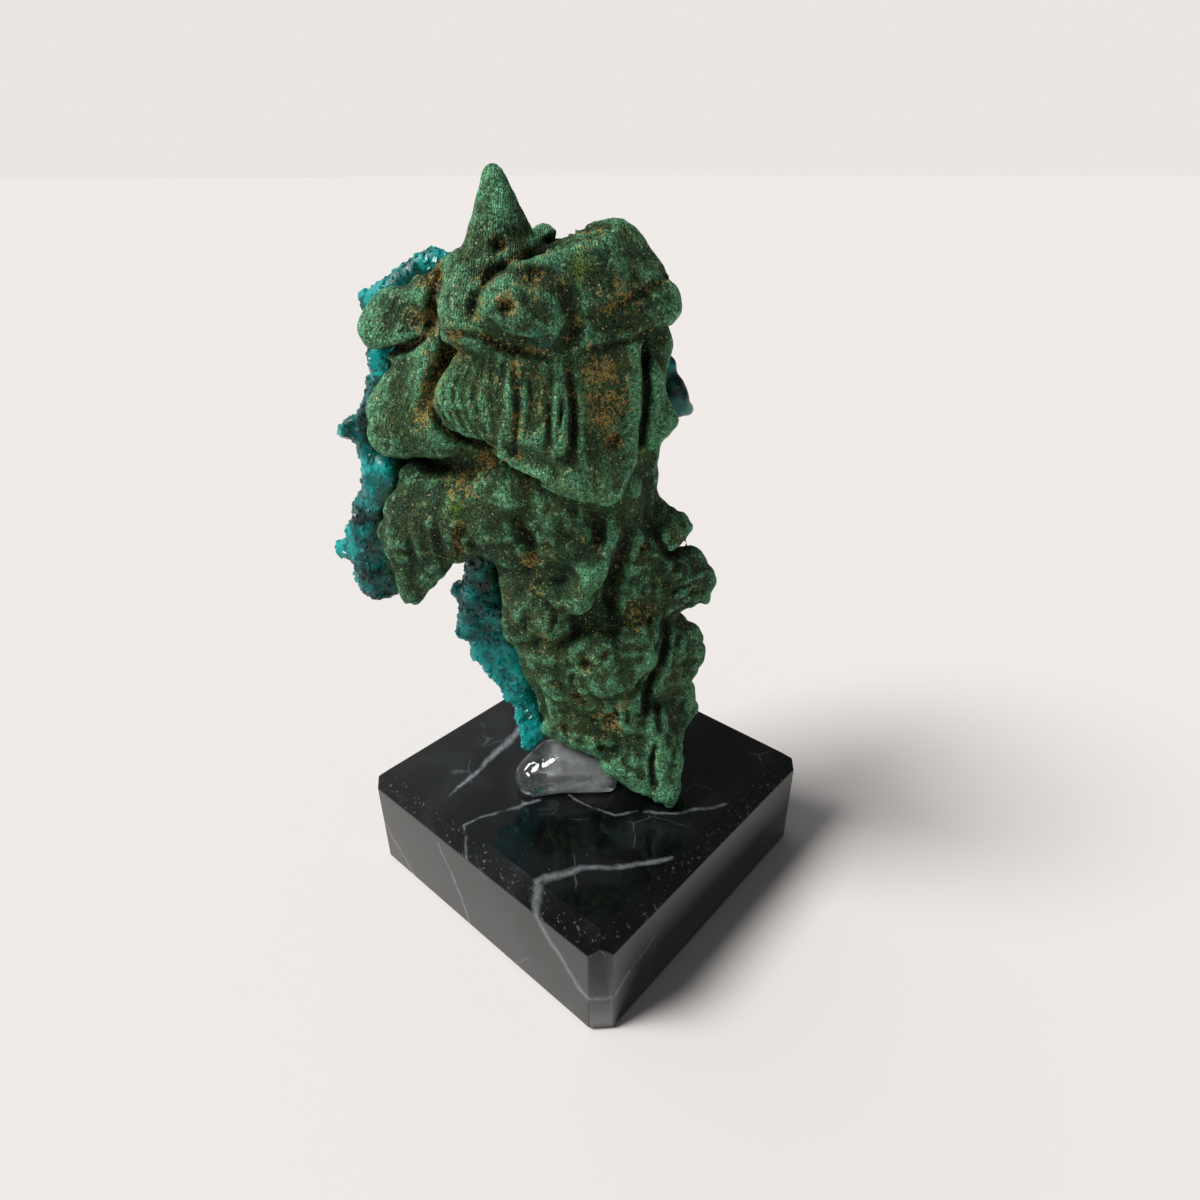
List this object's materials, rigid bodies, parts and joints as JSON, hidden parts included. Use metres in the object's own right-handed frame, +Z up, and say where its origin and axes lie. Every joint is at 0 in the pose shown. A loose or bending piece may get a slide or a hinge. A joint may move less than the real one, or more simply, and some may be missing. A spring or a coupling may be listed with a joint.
{
  "type": "mineral specimen on a stand",
  "caption": "Freeform of velvety green malachite folds with a crust of teal dioptase crystals, glued on end to a square polished black marble block for display.",
  "frame": {"origin": "centre of the block's underside", "axes": "+Z up, through the block to the tip of the horn; X and Y along the block's sides; the specimen's broad face looks towards +X -Y"},
  "size_m": [0.0517, 0.05, 0.1019],
  "materials": {
    "black_marble": "polished black marble with thin white veins",
    "malachite": "velvety fibrous malachite, dull, with ochre in the creases",
    "dioptase": "glassy translucent teal crystals",
    "clear_glue": "clear, glossy set hot glue"
  },
  "bodies": {
    "root": {"marble_base": "black_marble", "malachite_body": "malachite", "dioptase_crust": "dioptase", "adhesive": "clear_glue"}
  },
  "joints": []
}
